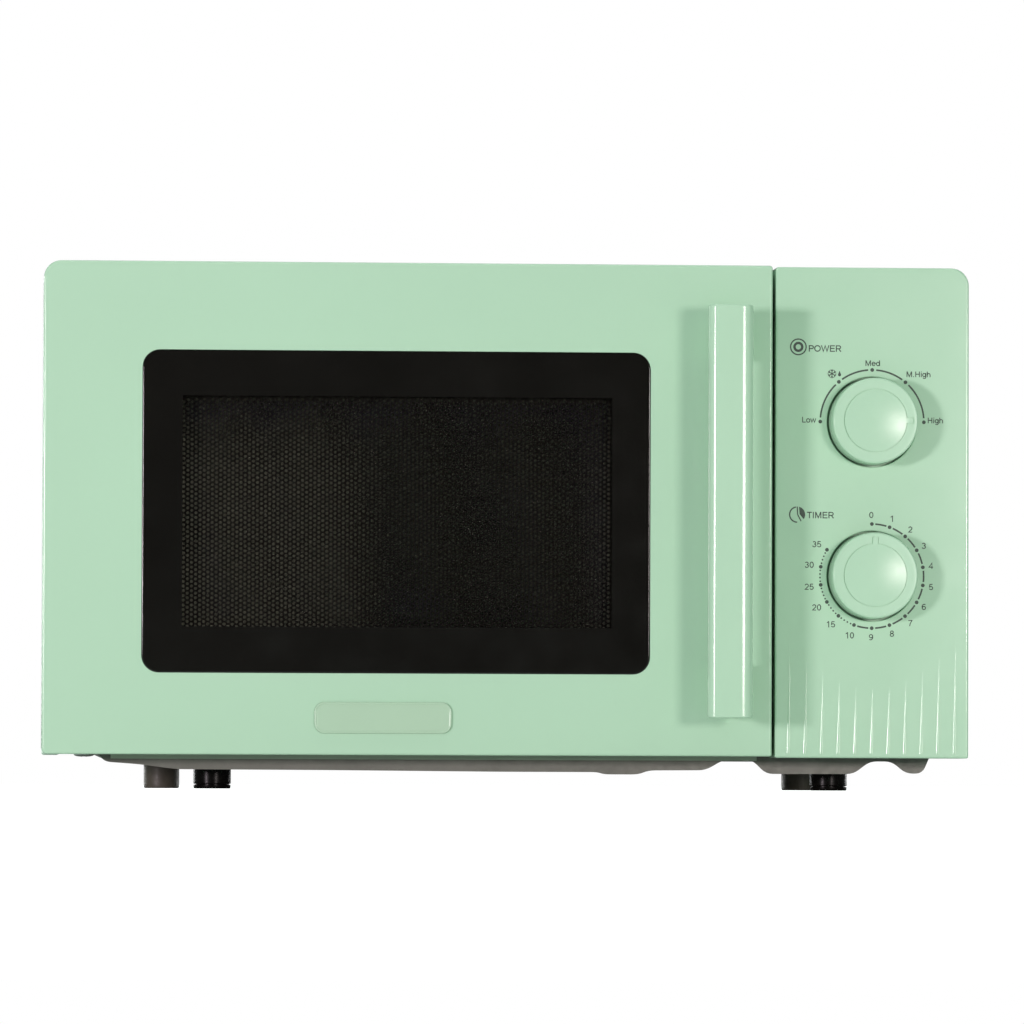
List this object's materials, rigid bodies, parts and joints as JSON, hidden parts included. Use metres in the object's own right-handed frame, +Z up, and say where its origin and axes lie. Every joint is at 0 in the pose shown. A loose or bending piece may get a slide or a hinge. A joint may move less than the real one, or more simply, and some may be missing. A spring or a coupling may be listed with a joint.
{
  "type": "microwave oven",
  "caption": "Countertop microwave oven with a side-hinged door, dark window, upright bar handle, rotary power and timer controls and a turning glass tray.",
  "frame": {"origin": "on the floor under the middle of the oven's box, with the door shut", "axes": "+Z up, +X to the right as seen from the front, the door faces -Y"},
  "size_m": [0.451, 0.379, 0.2558],
  "materials": {
    "mint_plastic": "smooth semi-gloss moulding, pale mint green",
    "mint_paint": "smooth powder coat, pale mint green",
    "black_window": "glossy, very dark tint",
    "clear_film": "clear",
    "tray_glass": "clear pressed glass",
    "lamp_glass": "clear bulb",
    "galvanised": "galvanised sheet, dull",
    "front_plate_paint": "light grey paint on steel",
    "cavity_enamel": "light grey epoxy enamel",
    "screen_steel": "black paint on perforated steel",
    "black_plastic": "moulded, fine grain",
    "black_rubber": "glossy black",
    "grey_rubber": "dull grey brown",
    "white_plastic": "moulded, satin",
    "mica": "mica sheet, dull",
    "core_steel": "varnished laminations",
    "copper": "enamelled copper wire and paper",
    "zinc_steel": "bright zinc plate",
    "board": "circuit board with parts",
    "dial_print": "scale marks printed on the control panel",
    "cable": "bundled wires in a sleeve"
  },
  "bodies": {
    "chassis": {"outer_case": "mint_paint", "front_frame": "front_plate_paint", "base_plate": "galvanised", "rear_panel": "galvanised", "cord_gland": "black_plastic", "foot_front_left": "black_rubber", "foot_front_right": "black_rubber", "foot_rear_left": "grey_rubber", "foot_rear_right": "grey_rubber", "cavity": "cavity_enamel", "waveguide": "galvanised", "waveguide_cover": "mica", "magnetron_body": "zinc_steel", "magnetron_antenna": "zinc_steel", "transformer_core": "core_steel", "primary_winding": "copper", "secondary_winding": "copper", "capacitor": "zinc_steel", "capacitor_clamp": "galvanised", "high_voltage_diode": "black_plastic", "thermal_cutout": "white_plastic", "fan_duct": "white_plastic", "fan_motor": "zinc_steel", "lamp_socket": "white_plastic", "lamp_bulb": "lamp_glass", "turntable_motor": "galvanised", "upper_hinge": "galvanised", "lower_hinge": "galvanised", "hinge_screw": "zinc_steel", "control_panel": "mint_plastic", "control_bracket": "galvanised", "timer_unit": "white_plastic", "power_selector": "white_plastic", "latch_board": "white_plastic", "primary_switch": "black_plastic", "secondary_switch": "black_plastic", "monitor_switch": "black_plastic", "noise_filter": "board", "wiring_harness": "cable"},
    "door": {"door_frame": "mint_plastic", "window_glass": "black_window", "door_panel": "screen_steel", "door_screen": "screen_steel", "inner_window": "clear_film", "choke_cover": "black_plastic", "handle": "mint_plastic", "badge": "mint_plastic", "latch_spring": "zinc_steel"},
    "latch": {"door_latch": "white_plastic"},
    "turntable": {"turntable_coupler": "white_plastic", "glass_tray": "tray_glass"},
    "roller_ring": {"roller_ring": "white_plastic"},
    "roller_1": {"roller_1": "white_plastic"},
    "roller_2": {"roller_2": "white_plastic"},
    "roller_3": {"roller_3": "white_plastic"},
    "fan": {"fan_impeller": "white_plastic"},
    "timer_control": {"timer_knob": "mint_plastic", "timer_shaft": "white_plastic"},
    "power_control": {"power_knob": "mint_plastic", "power_shaft": "white_plastic"}
  },
  "joints": [
    {"name": "door_hinge", "type": "hinge", "parent": "chassis", "child": "door", "pos_m": [-0.2165, -0.1345, 0.134], "axis": [0, 0, -1], "range_deg": [0, 105]},
    {"name": "latch_slide", "type": "slide", "parent": "door", "child": "latch", "axis": [0, 0, 1], "range_m": [0, 0.003], "deforming": ["latch_spring"]},
    {"name": "turntable_spin", "type": "hinge", "parent": "chassis", "child": "turntable", "pos_m": [-0.054, 0.0244, 0.04], "axis": [0, 0, 1], "continuous": true},
    {"name": "roller_ring_spin", "type": "hinge", "parent": "chassis", "child": "roller_ring", "pos_m": [-0.054, 0.0244, 0.0443], "axis": [0, 0, 1], "continuous": true},
    {"name": "roller_1_spin", "type": "hinge", "parent": "roller_ring", "child": "roller_1", "pos_m": [0.035, 0.0244, 0.0443], "axis": [1, 0, 0], "continuous": true},
    {"name": "roller_2_spin", "type": "hinge", "parent": "roller_ring", "child": "roller_2", "pos_m": [-0.0985, 0.10148, 0.0443], "axis": [-0.5, 0.866, 0], "continuous": true},
    {"name": "roller_3_spin", "type": "hinge", "parent": "roller_ring", "child": "roller_3", "pos_m": [-0.0985, -0.05268, 0.0443], "axis": [-0.5, -0.866, 0], "continuous": true},
    {"name": "fan_spin", "type": "hinge", "parent": "chassis", "child": "fan", "pos_m": [0.161, 0.17, 0.148], "axis": [0, 1, 0], "continuous": true},
    {"name": "timer_turn", "type": "hinge", "parent": "chassis", "child": "timer_control", "pos_m": [0.178, -0.1525, 0.1046], "axis": [0, 1, 0], "range_deg": [0, 300]},
    {"name": "power_turn", "type": "hinge", "parent": "chassis", "child": "power_control", "pos_m": [0.178, -0.1525, 0.1798], "axis": [0, -1, 0], "range_deg": [0, 180]}
  ],
  "couplings": [
    {"joint": "roller_ring_spin", "follows": "turntable_spin", "ratio": 0.5},
    {"joint": "roller_1_spin", "follows": "turntable_spin", "ratio": -5.5625},
    {"joint": "roller_2_spin", "follows": "turntable_spin", "ratio": -5.5625},
    {"joint": "roller_3_spin", "follows": "turntable_spin", "ratio": -5.5625}
  ]
}
